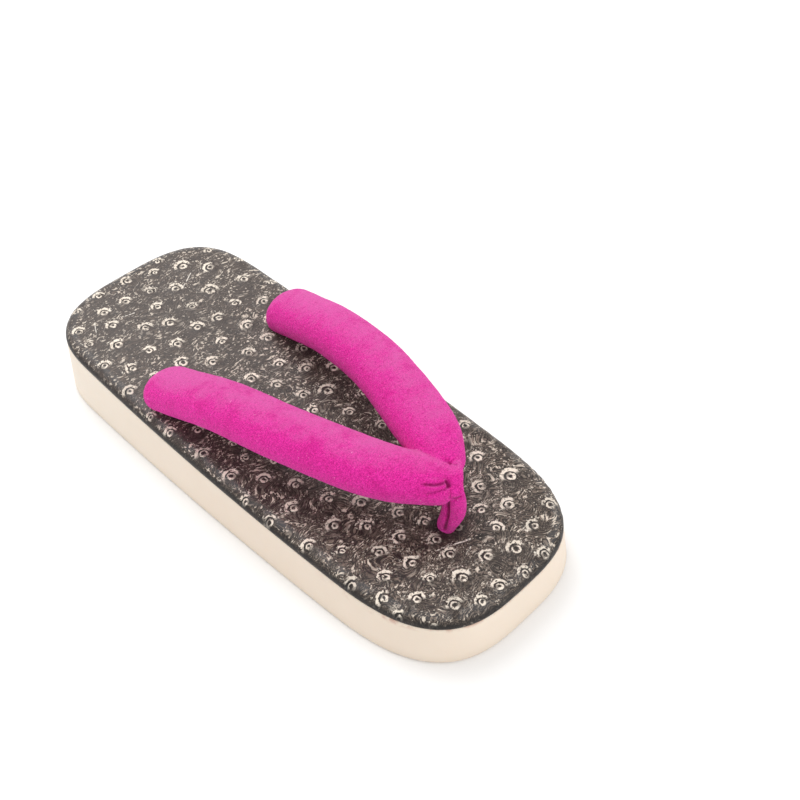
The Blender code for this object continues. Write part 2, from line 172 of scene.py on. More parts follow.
# Quill marks of the embossed cover, from the heel to the toe: the place of each across and along the sandal
# in millimetres, and its size as a share of the usual one
QUILL_MARKS = (
    (-31.5, 113.4, 0.8), (-18.4, 114.5, 0.9), (-2.9, 114.0, 1.0), (9.4, 110.2, 0.9), (15.0, 115.4, 0.8),
    (-38.1, 102.0, 1.0), (-23.1, 104.1, 1.0), (-11.9, 103.4, 1.0), (0.0, 101.6, 0.9), (21.2, 104.5, 1.3),
    (37.3, 105.2, 0.8), (-39.0, 92.4, 0.8), (-25.2, 95.0, 1.0), (-3.8, 91.3, 0.9), (9.4, 95.2, 1.1),
    (30.1, 95.6, 1.1), (42.6, 91.0, 0.7), (-30.6, 83.8, 1.1), (-15.9, 84.1, 1.1), (7.3, 80.9, 0.9),
    (19.8, 83.4, 1.3), (-42.4, 77.7, 1.0), (-6.3, 79.1, 1.1), (36.0, 78.8, 1.0), (-34.9, 68.1, 1.0),
    (-23.4, 72.0, 0.9), (-12.1, 66.6, 1.1), (0.6, 68.8, 1.1), (11.2, 67.0, 1.1), (22.3, 69.5, 0.9),
    (43.8, 67.8, 0.7), (-43.6, 58.4, 1.1), (-31.0, 57.5, 1.0), (-17.4, 56.3, 1.1), (2.6, 54.5, 0.9),
    (17.3, 54.5, 1.1), (32.6, 61.3, 1.1), (43.5, 55.5, 0.9), (-38.0, 47.5, 1.0), (-25.5, 47.0, 1.0),
    (-8.1, 47.7, 1.1), (27.0, 50.5, 1.0), (37.5, 46.0, 1.0), (-46.2, 41.5, 0.8), (-16.5, 39.0, 1.0),
    (6.4, 41.3, 1.0), (18.4, 42.4, 1.0), (29.5, 38.5, 1.0), (43.5, 36.0, 1.0), (-34.0, 36.0, 1.0),
    (-45.9, 29.3, 0.9), (-24.0, 29.5, 1.0), (-3.1, 28.9, 1.1), (11.2, 27.1, 1.0), (25.0, 26.8, 1.1),
    (36.5, 27.0, 1.0), (-37.4, 22.3, 0.8), (-13.5, 22.5, 1.0), (2.5, 18.6, 1.0), (17.6, 17.0, 1.1),
    (45.0, 20.5, 0.9), (-27.0, 16.5, 1.0), (31.5, 16.5, 1.0), (-43.4, 11.1, 1.1), (-16.5, 10.5, 1.0),
    (39.5, 9.5, 1.0), (-31.8, 6.6, 0.7), (-6.5, 10.0, 1.0), (6.2, 6.6, 1.0), (26.2, 9.3, 1.1),
    (-32.9, -2.3, 0.7), (-21.0, -0.5, 1.0), (-9.0, -1.5, 1.0), (3.7, -2.9, 1.0), (15.1, 1.4, 1.3),
    (34.0, -2.5, 1.0), (45.2, -2.0, 0.9), (-43.3, -5.4, 1.1), (-26.0, -11.0, 1.0), (-14.5, -12.0, 1.0),
    (-2.0, -13.0, 1.0), (13.1, -13.7, 0.9), (24.8, -10.0, 0.8), (39.5, -13.0, 1.0), (-35.4, -15.7, 1.0),
    (-47.0, -18.2, 0.9), (-19.5, -21.5, 1.0), (-8.0, -23.0, 1.0), (4.0, -24.0, 1.0), (31.0, -20.5, 1.0),
    (-28.4, -26.4, 1.0), (17.6, -28.2, 1.0), (43.0, -25.0, 1.0), (-47.0, -32.1, 0.9), (-36.6, -34.3, 1.1),
    (-14.0, -32.5, 1.0), (-2.0, -34.5, 1.0), (8.5, -35.5, 1.0), (27.0, -32.0, 1.0), (36.5, -34.5, 1.0),
    (-24.0, -40.4, 1.0), (17.5, -40.5, 0.9), (-8.0, -43.5, 1.0), (30.5, -44.0, 1.0), (-44.5, -51.4, 1.0),
    (-31.3, -51.3, 1.1), (-16.5, -50.6, 1.1), (3.0, -45.5, 1.0), (12.0, -52.0, 1.0), (23.0, -52.5, 1.0),
    (41.4, -52.3, 1.0), (-4.5, -55.0, 1.0), (33.5, -56.5, 1.0), (-37.5, -61.8, 0.8), (-22.9, -60.4, 1.0),
    (-9.5, -64.5, 1.0), (7.0, -62.0, 1.0), (19.5, -64.0, 1.0), (-45.4, -74.9, 1.1), (-28.4, -72.1, 1.0),
    (-17.4, -73.0, 1.1), (-5.9, -74.3, 0.9), (32.1, -67.4, 1.1), (11.5, -73.5, 1.0), (22.1, -77.9, 1.1),
    (-34.5, -81.4, 1.0), (-23.1, -84.1, 1.1), (-8.8, -82.9, 1.0), (1.4, -84.6, 1.0), (13.4, -85.7, 1.0),
    (34.1, -82.9, 1.3), (-41.1, -87.3, 1.0), (-10.2, -91.3, 1.0), (22.9, -91.6, 1.1), (-42.7, -96.1, 0.9),
    (-33.3, -96.1, 1.0), (-23.6, -93.4, 0.8), (10.9, -95.4, 1.0), (-15.0, -101.6, 1.2), (-1.1, -101.8, 1.1),
    (34.1, -102.9, 1.1), (21.9, -105.1, 1.0), (-37.4, -108.4, 0.8), (-25.6, -107.5, 1.1), (8.7, -107.0, 1.2),
    (-17.7, -113.4, 0.9), (-8.3, -113.6, 1.0), (3.0, -116.2, 0.9), (14.8, -116.0, 1.0),
)

# How the marks are turned, in degrees, and the seed that their chance numbers start from
QUILL_TURN = -14
QUILL_TURN_SPREAD = 22
QUILL_SEED = 4

# Relief of a mark of the usual size, in millimetres: a mound with a hollow on top and, on its heel side, an
# arc-shaped pit with a fold beyond it
QUILL_REACH = 5.6
QUILL_FADE = 1.2
MOUND_HEIGHT = 0.42
MOUND_RADIUS = 1.9
HOLLOW_DEPTH = 0.34
HOLLOW_RADIUS = 0.75
ARC_CENTRE = 0.2
ARC_START = -0.4
PIT_RADIUS = 2.2
PIT_WIDTH = 0.6
PIT_FADE = 1.4
PIT_DEPTH = 0.30
FOLD_RADIUS = 3.4
FOLD_WIDTH = 0.7
FOLD_FADE = 1.8
FOLD_HEIGHT = 0.16

# Colour of a mark, in the same millimetres: a pale ring, painted shadow in the pit beyond it, a pale arc, and
# flecks
MARK_WOBBLE = 1.2
RING_RADIUS = 0.92
RING_RADIUS_SPREAD = 0.38
PIT_SHADOW_RADIUS = 1.92
PIT_SHADOW_HALF = 0.28
PALE_ARC_RADIUS = 2.65
PALE_ARC_HALF = 0.40
FLECKS_RADIUS = 3.9
FLECKS_HALF = 0.8

# Pale scratches of the cover: both ends of each, in millimetres across and along the sandal, and half its
# width
SCRATCHES = (
    (-12.9, -86.2, -6.6, -88.6, 0.10),
    (-6.6, -88.6, 0.4, -91.7, 0.20),
    (-5.9, -95.3, -2.4, -94.2, 0.10),
    (-19.3, 96.8, -13.6, 95.2, 0.10),
    (-30.0, 101.9, -33.3, 96.1, 0.04),
    (12.4, 93.6, 21.0, 98.7, 0.06),
)

# The middle of the thong where it goes into the cover, in millimetres
THONG_FOOT = (-1.2, -81.6, 23.3)

# The dimple of the cover round the thong and the puckers of its rim at the toe, in metres. Only the puckers'
# reach in from the rim is in millimetres
DIMPLE_DEPTH = 0.0011
DIMPLE_RADIUS = 0.0075
PUCKER_FROM_Y = -0.060
PUCKER_FADE = 0.030
PUCKER_HEIGHT = 0.00030
PUCKER_SIZE = 0.0019
PUCKER_SINK = 0.2
PUCKER_REACH = 1.6

# Unevenness of each surface: layers of smooth noise, with the height and size of each in metres, and its seed
SOLE_UNEVENNESS = ((0.00012, 0.022, 1),)
SOLE_SHRINK = 0.00008
COVER_UNEVENNESS = ((0.00016, 0.016, 2), (0.00009, 0.0055, 3))
PUCKER_SEED = 8
NAP_UNEVENNESS = ((0.00010, 0.0011, 5), (0.00012, 0.006, 6))

# The direction of the painted light that makes the plush paler where its surface faces it
PAINTED_LIGHT_DIRECTION = (0.25, 0.50, 0.83)

# Fineness of the meshes
OUTLINE_STEPS = 420
CURVE_SAMPLES = 400
SIDE_SAMPLES = 200
COVER_COLUMNS = 130
RIM_LEVELS = 9
WALL_LEVELS = 16
TREAD_EDGE_LEVELS = 5
STRAP_RINGS = 130
STRAP_SIDES = 72
STRAP_VOXEL = 0.00052
STRAP_SMOOTHINGS = 12
BAND_RINGS = 40
BAND_SIDES = 32
THONG_VOXEL = 0.00036
THONG_RINGS = 110
THONG_SIDES = 40
THONG_SMOOTHINGS = 6
SMOOTHING_FACTOR = 0.5

# Colours: red, green, blue and opacity
FOAM_CREAM = (0.80, 0.68, 0.555, 1)
FOAM_PALE = (0.86, 0.745, 0.63, 1)
FOAM_HEEL = (0.88, 0.81, 0.71, 1)
FOAM_TREAD = (0.62, 0.50, 0.38, 1)
FOAM_STAIN = (0.56, 0.33, 0.25, 1)
FOAM_SPECK = (0.55, 0.43, 0.33, 1)
SHEET_DARK = (0.012, 0.008, 0.006, 1)
SHEET_BROWN = (0.026, 0.018, 0.014, 1)
SHEET_HEEL_PAINTED_SHEEN = (0.048, 0.037, 0.033, 1)
SHEET_HAIRLINE = (0.125, 0.098, 0.085, 1)
SHEET_PAINTED_SHINE = (0.085, 0.085, 0.090, 1)
SHEET_RIM_PAINTED_SHADE = (0.010, 0.008, 0.008, 1)
SHEET_THONG_PAINTED_SHADE = (0.010, 0.007, 0.006, 1)
GRAIN_TAN = (0.30, 0.205, 0.145, 1)
GRAIN_GREY = (0.37, 0.32, 0.27, 1)
DASH_PALE = (0.76, 0.66, 0.55, 1)
QUILL_PIT_SHADOW_AND_HOLE = (0.008, 0.006, 0.005, 1)
QUILL_TAN = (0.72, 0.59, 0.47, 1)
QUILL_CREAM = (0.98, 0.91, 0.80, 1)
SCRATCH_PALE = (0.80, 0.74, 0.66, 1)
PLUSH_DEEP = (0.60, 0.008, 0.215, 1)
PLUSH_BRIGHT = (1.0, 0.052, 0.50, 1)
PLUSH_PAINTED_LIGHT_DEEP = (0.52, 0.07, 0.28, 1)
PLUSH_PAINTED_LIGHT_PALE = (0.93, 0.17, 0.54, 1)
PLUSH_TUFT_SHADE = (0.48, 0.006, 0.17, 1)
PLUSH_BRUSHED = (0.56, 0.010, 0.22, 1)
PLUSH_CREASE_SHADE = (0.20, 0.003, 0.065, 1)
PLUSH_LINT = (1.0, 0.50, 0.78, 1)
PLUSH_SHEEN = (1.0, 0.55, 0.85, 1)
BOARD_GREY = (0.93, 0.93, 0.93, 1)
BOARD_WHITE = (0.96, 0.96, 0.96, 1)

# The camera of the photograph
CAMERA_AZIMUTH = -0.8023
CAMERA_ELEVATION = 0.7988
CAMERA_ROLL = 0.0012
CAMERA_DISTANCE = 0.4989163
CAMERA_TARGET = Vector((0.0392884, -0.0172366, 0.015))
FOCAL_PIXELS = 1168.59
PICTURE_PIXELS = 800
SENSOR_WIDTH = 36.0
CLIP_START = 0.01
CLIP_END = 20.0

# The studio: a white floor and white surroundings, a large soft lamp high beyond the heel, and a weaker one
# low in front of the toe, both turned to the sandal
FLOOR_HALF_SIDE = 6.0
WORLD_STRENGTH = 0.86
LAMPS = (
    {"name": "key", "place": (0.10, 0.55, 0.85), "size": 0.70, "power": 5.0},
    {"name": "fill", "place": (0.20, -0.85, 0.45), "size": 0.60, "power": 1.5},
)


def heel_end():
    """The y of the footbed's heel end."""
    return (FOOTBED_LENGTH + TOE_FLARE) / 2


def y_of(along):
    """The place along the sandal of a share of the footbed's length from the heel."""
    return heel_end() - FOOTBED_LENGTH * along


def thong_y():
    """The place of the thong's middle along the sandal."""
    return y_of(1) + THONG_FROM_TOE


def footbed_height(y):
    """The height of the footbed's upper face, for a number or an array."""
    along = (heel_end() - y) / FOOTBED_LENGTH
    straight = HEEL_HEIGHT + (TOE_HEIGHT - HEEL_HEIGHT) * along
    return straight - FOOTBED_DIP * 4 * along * (1 - along)


def half_width(along):
    """Half the width of the footbed before its ends are rounded."""
    ends = (HEEL_WIDTH + (TOE_WIDTH - HEEL_WIDTH) * along) / 2
    belly = MIDDLE_WIDTH / 2 - (HEEL_WIDTH + TOE_WIDTH) / 4
    return ends + belly * 4 * along * (1 - along)


def outline(side, heel, toe):
    """The outline drawn in by insets, as the y and half width of evenly spaced points from heel to toe."""
    heel_y = heel_end() - heel
    toe_y = y_of(1) + toe
    heel_curve = HEEL_CURVE_LENGTH - heel
    toe_curve = TOE_CURVE_LENGTH - toe
    turn = np.linspace(0, math.pi / 2, CURVE_SAMPLES)

    def rounded_end(tip, curve, squareness):
        y = tip + curve * (1 - np.cos(turn).clip(0) ** (2 / squareness))
        return np.stack((y, np.sin(turn) ** (2 / squareness)), axis=1)

    heel_part = rounded_end(heel_y, -heel_curve, HEEL_SQUARENESS)
    toe_part = rounded_end(toe_y, toe_curve, TOE_SQUARENESS)[::-1]
    side_y = np.linspace(heel_y - heel_curve, toe_y + toe_curve, SIDE_SAMPLES)[1:-1]
    side_part = np.stack((side_y, np.ones_like(side_y)), axis=1)
    points = np.concatenate((heel_part, side_part, toe_part))
    along = (heel_y - points[:, 0]) / (heel_y - toe_y)
    points[:, 1] *= half_width(along) - side
    lengths = np.hypot(*np.diff(points, axis=0).T)
    travelled = np.concatenate(([0.0], np.cumsum(lengths)))
    places = np.linspace(0, travelled[-1], OUTLINE_STEPS)
    y = np.interp(places, travelled, points[:, 0])
    half = np.interp(places, travelled, points[:, 1])
    half[0] = half[-1] = 0.0
    return y, half


def smooth_row(rows, position):
    """A row read from a smooth curve through a table, with position counted in rows."""
    first = min(int(position), len(rows) - 2)
    share = position - first
    values = {}
    for column in rows[0]:
        inner = [row[column] for row in rows]
        before = 2 * inner[0] - inner[1]
        after = 2 * inner[-1] - inner[-2]
        a, b, c, d = ([before] + inner + [after])[first : first + 4]
        curve = 2 * b + (c - a) * share
        curve += (2 * a - 5 * b + 4 * c - d) * share**2 + (3 * b - a - 3 * c + d) * share**3
        values[column] = curve / 2
    return values


def rounded_share(distance, length):
    """How much of its full size a rounded end has at a distance from its tip."""
    left = max(0.0, 1 - distance / length)
    return math.sqrt(1 - left**2)


def tube(centres, halves, end_lengths, outward_of, tilt, sides):
    """Points and faces of a closed tube with rounded ends along a middle line."""
    travelled = [0.0]
    for before, after in zip(centres, centres[1:]):
        travelled.append(travelled[-1] + (after - before).length)
    last = len(centres) - 1
    points = []
    faces = []
    for index in range(1, last):
        along = (centres[index + 1] - centres[index - 1]).normalized()
        outward = outward_of(along)
        upward = outward.cross(along)
        wide = math.cos(tilt) * outward + math.sin(tilt) * upward
        thick = math.cos(tilt) * upward - math.sin(tilt) * outward
        share = rounded_share(travelled[index], end_lengths[0])
        share *= rounded_share(travelled[last] - travelled[index], end_lengths[1])
        for side in range(sides):
            angle = math.tau * side / sides
            across = wide * halves[index][0] * share * math.cos(angle)
            points.append(centres[index] + across + thick * halves[index][1] * share * math.sin(angle))
    for ring in range(last - 2):
        for side in range(sides):
            following = (side + 1) % sides
            low = ring * sides
            high = low + sides
            faces.append((low + side, low + following, high + following, high + side))
    first_tip = len(points)
    points.append(centres[0])
    last_tip = len(points)
    points.append(centres[last])
    final = (last - 2) * sides
    for side in range(sides):
        following = (side + 1) % sides
        faces.append((first_tip, following, side))
        faces.append((last_tip, final + side, final + following))
    return points, faces


def new_piece(name, points, faces, material, node=None):
    """A smooth mesh in the scene. With a node it rides on the sandal in place of that CAD solid."""
    mesh = bpy.data.meshes.new(name)
    mesh.from_pydata(points, [], faces)
    mesh.shade_smooth()
    mesh.materials.append(material)
    piece = bpy.data.objects.new(name, mesh)
    bpy.context.scene.collection.objects.link(piece)
    if node:
        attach(piece, "root")
        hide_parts(node)
    return piece


def vertices_of(piece, kind="co"):
    """The places of a piece's vertices as an array, or their normals if the kind is normal."""
    values = np.empty(len(piece.data.vertices) * 3)
    piece.data.vertices.foreach_get(kind, values)
    return values.reshape(-1, 3)


def move_vertices(piece, points):
    """Put the vertices of a piece in new places."""
    piece.data.vertices.foreach_set("co", points.ravel())
    piece.data.update()


def keep_numbers(piece, name, numbers):
    """Keep a number at each vertex of a piece, for its material."""
    attribute = piece.data.attributes.new(name, "FLOAT", "POINT")
    attribute.data.foreach_set("value", numbers.astype(np.float32))


def apply_modifier(piece, modifier):
    """Apply one modifier of a piece."""
    bpy.context.view_layer.objects.active = piece
    with bpy.context.temp_override(object=piece, active_object=piece, selected_objects=[piece]):
        bpy.ops.object.modifier_apply(modifier=modifier.name)


def smooth_step(value):
    """A soft step from 0 to 1, for a number or an array."""
    value = np.clip(value, 0.0, 1.0)
    return value * value * (3 - 2 * value)


def bell(distance, width):
    """1 at no distance, falling softly towards 0 at about twice the width."""
    return np.exp(-((distance / width) ** 2))


def soft_noise(points, size, seed):
    """Smooth noise from -1 to 1 at each point, with features of about the given size."""
    shift = Vector((seed * 7.1, seed * 3.7, seed * 5.3))
    return np.array([noise.noise(Vector(point) / size + shift) for point in points])


def unevenness(points, layers):
    """The sum of layers of smooth noise at each point."""
    return sum(height * soft_noise(points, size, seed) for height, size, seed in layers)


def ring_points(y, half, height):
    """A ring down the right side from the heel to the toe and back up the left side."""
    right = np.stack((half, y, height), axis=1)
    left = np.stack((-half[1:-1], y[1:-1], height[1:-1]), axis=1)[::-1]
    return np.concatenate((right, left))


def wall_faces(levels, ring):
    """Faces between rings that lie one above the other."""
    faces = []
    for level in range(levels - 1):
        for index in range(ring):
            following = (index + 1) % ring
            low = level * ring
            high = low + ring
            faces.append((low + index, high + index, high + following, low + following))
    return faces


def strip_faces(base, up):
    """Strips across the slab that close the ring which starts at point base."""
    ring = 2 * OUTLINE_STEPS - 2
    faces = []
    for index in range(OUTLINE_STEPS - 1):
        strip = [base + index, base + index + 1, base + ring - index - 1, base + (ring - index) % ring]
        strip = list(dict.fromkeys(strip))
        faces.append(strip[::-1] if up else strip)
    return faces


def make_sole(material):
    """The foam wedge. Its side leans out to the tread and is very slightly uneven, as poured foam is."""
    rings = []
    for step in range(TREAD_EDGE_LEVELS + 1):
        angle = math.pi / 2 * step / TREAD_EDGE_LEVELS
        inset = TREAD_EDGE_RADIUS * (1 - math.sin(angle))
        y, half = outline(inset - SIDE_FLARE, inset + HEEL_UNDERCUT, inset - TOE_FLARE)
        rings.append(ring_points(y, half, np.full_like(y, TREAD_EDGE_RADIUS * (1 - math.cos(angle)))))
    y, half = outline(0, 0, 0)
    top = ring_points(y, half, footbed_height(y) - FOOTBED_THICKNESS - PIECE_GAP)
    foot = rings[-1]
    for step in range(1, WALL_LEVELS + 1):
        share = step / WALL_LEVELS
        rings.append(foot + (top - foot) * share)
    points = np.concatenate(rings)
    ring = len(top)
    faces = wall_faces(len(rings), ring)
    faces += strip_faces(0, up=False)
    faces += strip_faces((len(rings) - 1) * ring, up=True)
    wall = slice(TREAD_EDGE_LEVELS * ring, (len(rings) - 1) * ring)
    outward = points[wall] * (1, 1, 0)
    outward /= np.linalg.norm(outward, axis=1)[:, None]
    lift = unevenness(points[wall], SOLE_UNEVENNESS) - SOLE_SHRINK
    points[wall] += outward * lift[:, None]
    new_piece("sole_foam", points, faces, material, "sole")


def make_cover(material):
    """The padded cover: a rolled rim, low quills pressed up in it, and a dimple where the thong goes in."""
    rings = []
    for step in range(RIM_LEVELS + 1):
        angle = math.pi / 2 * step / RIM_LEVELS
        inset = RIM_ROLL * (1 - math.cos(angle))
        y, half = outline(inset, inset, inset)
        lift = FOOTBED_THICKNESS * math.sin(angle) - FOOTBED_THICKNESS
        rings.append(ring_points(y, half, footbed_height(y) + lift))
    ring = len(rings[0])
    faces = wall_faces(len(rings), ring)
    faces += strip_faces(0, up=False)
    points = np.concatenate(rings)

    # The top is a grid of rows between the right and the left side of the innermost ring.
    base = (len(rings) - 1) * ring
    columns = np.linspace(1, -1, COVER_COLUMNS + 1)[1:-1]
    inner = [np.stack((half[row] * columns, np.full_like(columns, y[row]), np.zeros_like(columns)), axis=1)
             for row in range(1, OUTLINE_STEPS - 1)]
    inner = np.concatenate(inner)
    inner[:, 2] = footbed_height(inner[:, 1])
    first = len(points)
    points = np.concatenate((points, inner))

    def top_row(row):
        middle = range(first + (row - 1) * len(columns), first + row * len(columns))
        return [base + row, *middle, base + ring - row]

    rows = [top_row(row) for row in range(1, OUTLINE_STEPS - 1)]
    for row, following in zip(rows, rows[1:]):
        faces += [(row[k], row[k + 1], following[k + 1], following[k]) for k in range(len(row) - 1)]
    heel_tip = base
    toe_tip = base + OUTLINE_STEPS - 1
    faces += [(heel_tip, rows[0][k + 1], rows[0][k]) for k in range(len(rows[0]) - 1)]
    faces += [(toe_tip, rows[-1][k], rows[-1][k + 1]) for k in range(len(rows[-1]) - 1)]

    cover = new_piece("embossed_cover", points, faces, material, "footbed")
    press_relief(cover, *chart_quills(cover))


def chart_quills(cover):
    """Keep for the material each vertex's place in the nearest quill mark and its distance from the rim."""
    marks = np.array(QUILL_MARKS)
    tree = kdtree.KDTree(len(marks))
    for index, (across, along, _) in enumerate(marks):
        tree.insert((across, along, 0.0), index)
    tree.balance()
    chance = np.random.default_rng(QUILL_SEED)
    turns = np.radians(chance.normal(QUILL_TURN, QUILL_TURN_SPREAD, len(marks)))
    seeds = chance.random(len(marks))

    points = vertices_of(cover)
    nearest = np.array([tree.find((x * 1000, y * 1000, 0.0))[1] for x, y, _ in points])
    away = points[:, :2] * 1000 - marks[nearest, :2]
    cosine = np.cos(turns[nearest])
    sine = np.sin(turns[nearest])
    size = marks[nearest, 2]
    u = (away[:, 0] * cosine + away[:, 1] * sine) / size
    v = (away[:, 1] * cosine - away[:, 0] * sine) / size
    reach = smooth_step((QUILL_REACH - np.hypot(u, v)) / QUILL_FADE)
    edge_y, edge_half = outline(0, 0, 0)
    edge = kdtree.KDTree(2 * len(edge_y))
    for index, (y, half) in enumerate(zip(edge_y, edge_half)):
        edge.insert((half, y, 0.0), index)
        edge.insert((-half, y, 0.0), index)
    edge.balance()
    from_edge = np.array([edge.find((x, y, 0.0))[2] * 1000 for x, y, _ in points])
    keep_numbers(cover, "quill_u", u)
    keep_numbers(cover, "quill_v", v)
    keep_numbers(cover, "quill_reach", reach)
    keep_numbers(cover, "quill_seed", seeds[nearest])
    keep_numbers(cover, "from_edge", from_edge)
    return u, v, reach, from_edge


def press_relief(cover, u, v, reach, from_edge):
    """Press the quill marks up, pucker the rim at the toe, and sink a dimple where the thong goes in."""
    points = vertices_of(cover)
    distance = np.hypot(u, v)
    from_arc = np.hypot(u, v - ARC_CENTRE)
    height = MOUND_HEIGHT * bell(distance, MOUND_RADIUS) - HOLLOW_DEPTH * bell(distance, HOLLOW_RADIUS)
    pit = bell(from_arc - PIT_RADIUS, PIT_WIDTH) * smooth_step((v - ARC_START) / PIT_FADE)
    fold = bell(from_arc - FOLD_RADIUS, FOLD_WIDTH) * smooth_step((v - ARC_START) / FOLD_FADE)
    height += FOLD_HEIGHT * fold - PIT_DEPTH * pit
    lift = reach * height * 0.001
    lift += unevenness(points, COVER_UNEVENNESS)
    from_thong = np.hypot(points[:, 0], points[:, 1] - thong_y())
    lift -= DIMPLE_DEPTH * bell(from_thong, DIMPLE_RADIUS)
    toe = smooth_step((PUCKER_FROM_Y - points[:, 1]) / PUCKER_FADE)
    pucker = soft_noise(points, PUCKER_SIZE, PUCKER_SEED) - PUCKER_SINK
    lift += PUCKER_HEIGHT * toe * bell(from_edge, PUCKER_REACH) * pucker
    normals = vertices_of(cover, "normal")
    # The underside, which lies on the foam, stays flat.
    upward = smooth_step(normals[:, 2] * 3)
    move_vertices(cover, points + normals * (lift * upward)[:, None])


def stuffed_strap(side):
    """Points and faces of one strap. side is 1 for the right strap and -1 for the left one."""
    stations = RIGHT_STRAP if side > 0 else LEFT_STRAP
    centres = []
    halves = []
    last_row = len(stations) - 1
    for step in range(STRAP_RINGS):
        position = last_row * (1 - math.cos(math.pi * step / (STRAP_RINGS - 1))) / 2
        row = smooth_row(stations, position)
        y = y_of(row["along"])
        height = footbed_height(y) + STRAP_RISE * row["rise"]
        centres.append(Vector((MIDDLE_WIDTH / 2 * row["out"], y, height)))
        halves.append((STRAP_WIDTH / 2 * row["width"], STRAP_THICKNESS / 2 * row["thickness"]))

    def outward_of(along):
        return Vector((-along.y, along.x, 0.0)).normalized()

    ends = (REAR_END_LENGTH, FRONT_END_LENGTH)
    points, faces = tube(centres, halves, ends, outward_of, STRAP_TILT, STRAP_SIDES)
    for point in points:
        point.z = max(point.z, footbed_height(point.y) + PIECE_GAP)
        point.x *= side
    if side < 0:
        faces = [face[::-1] for face in faces]
    return points, faces


def binding_band():
    """Points and faces of the band that binds the noses of the straps."""
    centres = []
    halves = []
    for step in range(BAND_RINGS):
        row = smooth_row(BAND_STATIONS, (len(BAND_STATIONS) - 1) * step / (BAND_RINGS - 1))
        centres.append(Vector((row["x"], row["y"], row["z"])) / 1000)
        halves.append((row["width"] / 1000, row["thickness"] / 1000))

    def outward_of(along):
        return along.cross(BAND_FACING).normalized()

    ends = (BAND_END_LENGTH, BAND_END_LENGTH)
    return tube(centres, halves, ends, outward_of, 0.0, BAND_SIDES)


def fuse(piece, voxel, repeats):
    """Give a piece of several closed forms one skin, and smooth the steps of the remeshing away."""
    remesh = piece.modifiers.new("remesh", "REMESH")
    remesh.mode = "VOXEL"
    remesh.voxel_size = voxel
    remesh.use_smooth_shade = True
    apply_modifier(piece, remesh)
    smooth = piece.modifiers.new("soften", "SMOOTH")
    smooth.iterations = repeats
    smooth.factor = SMOOTHING_FACTOR
    apply_modifier(piece, smooth)


def make_straps(material):
    """Both straps and the band round their noses, as one stuffed piece."""
    points = []
    faces = []
    for more_points, more_faces in (stuffed_strap(1), stuffed_strap(-1), binding_band()):
        faces += [tuple(index + len(points) for index in face) for face in more_faces]
        points += more_points
    straps = new_piece("plush_straps", points, faces, material, "straps")
    fuse(straps, STRAP_VOXEL, STRAP_SMOOTHINGS)
    press_creases(straps)
    ruffle(straps)


def from_line(points, normals, line):
    """The distance of each point from a line of straight parts, measured along the surface, and how far along
    the line, from 0 to 1, its nearest place is."""
    line = np.array(line, float)
    lengths = np.linalg.norm(np.diff(line, axis=0), axis=1)
    travelled = np.concatenate(([0.0], np.cumsum(lengths)))
    nearest = np.full(len(points), np.inf)
    share = np.zeros(len(points))
    for index, (start, end) in enumerate(zip(line, line[1:])):
        part = end - start
        foot = np.clip((points - start) @ part / (part @ part), 0, 1)
        away = points - start - foot[:, None] * part
        depth = np.sum(away * normals, axis=1)
        distance = np.linalg.norm(away - depth[:, None] * normals, axis=1)
        distance[np.abs(depth) > CREASE_REACH] = np.inf
        closer = distance < nearest
        nearest[closer] = distance[closer]
        share[closer] = ((travelled[index] + foot * lengths[index]) / travelled[-1])[closer]
    return nearest, share


def press_creases(piece):
    """Press the creases in, and keep for the material how deep each vertex lies in one, for the shade it
    paints into the creases.
    """
    points = vertices_of(piece)
    normals = vertices_of(piece, "normal")
    lift = np.zeros(len(points))
    crease_painted_shade = np.zeros(len(points))
    for crease in CREASES:
        distance, share = from_line(points * 1000, normals, crease["points"])
        width = crease["width"]
        ends = smooth_step(share / CREASE_FADE_IN + CREASE_START_STEP)
        ends *= smooth_step((1 - share) / CREASE_FADE_OUT + CREASE_END_STEP)
        trough = bell(distance, width) * ends
        ridge = bell(distance - CREASE_RIDGE_WIDTHS * width, width) * ends
        lift += crease["depth"] * (CREASE_RIDGE * ridge - trough)
        crease_painted_shade = np.maximum(crease_painted_shade, trough * min(1.0, crease["depth"]))
    keep_numbers(piece, "crease", crease_painted_shade)
    move_vertices(piece, points + normals * lift[:, None] / 1000)


def ruffle(piece):
    """The uneven tips of the nap, which roughen the outline a little."""
    points = vertices_of(piece)
    lift = unevenness(points, NAP_UNEVENNESS)
    move_vertices(piece, points + vertices_of(piece, "normal") * lift[:, None])


def make_thong(material):
    """The thong: one stuffed loop, up in front, into the nose of the V and down again behind."""
    centres = []
    halves = []
    for step in range(THONG_RINGS):
        row = smooth_row(THONG_STATIONS, (len(THONG_STATIONS) - 1) * step / (THONG_RINGS - 1))
        y = thong_y() - THONG_LEG_SPACING * row["ahead"]
        centres.append(Vector((row["across"] / 1000, y, footbed_height(thong_y()) + row["rise"] / 1000)))
        halves.append((THONG_LEG_RADIUS * row["width"], THONG_LEG_RADIUS * row["thickness"]))

    def outward_of(along):
        return Vector((1.0, 0.0, 0.0))

    ends = (THONG_END_LENGTH, THONG_END_LENGTH)
    points, faces = tube(centres, halves, ends, outward_of, 0.0, THONG_SIDES)
    thong = new_piece("plush_thong", points, faces, material, "toe_thong")
    fuse(thong, THONG_VOXEL, THONG_SMOOTHINGS)
    press_creases(thong)
    ruffle(thong)


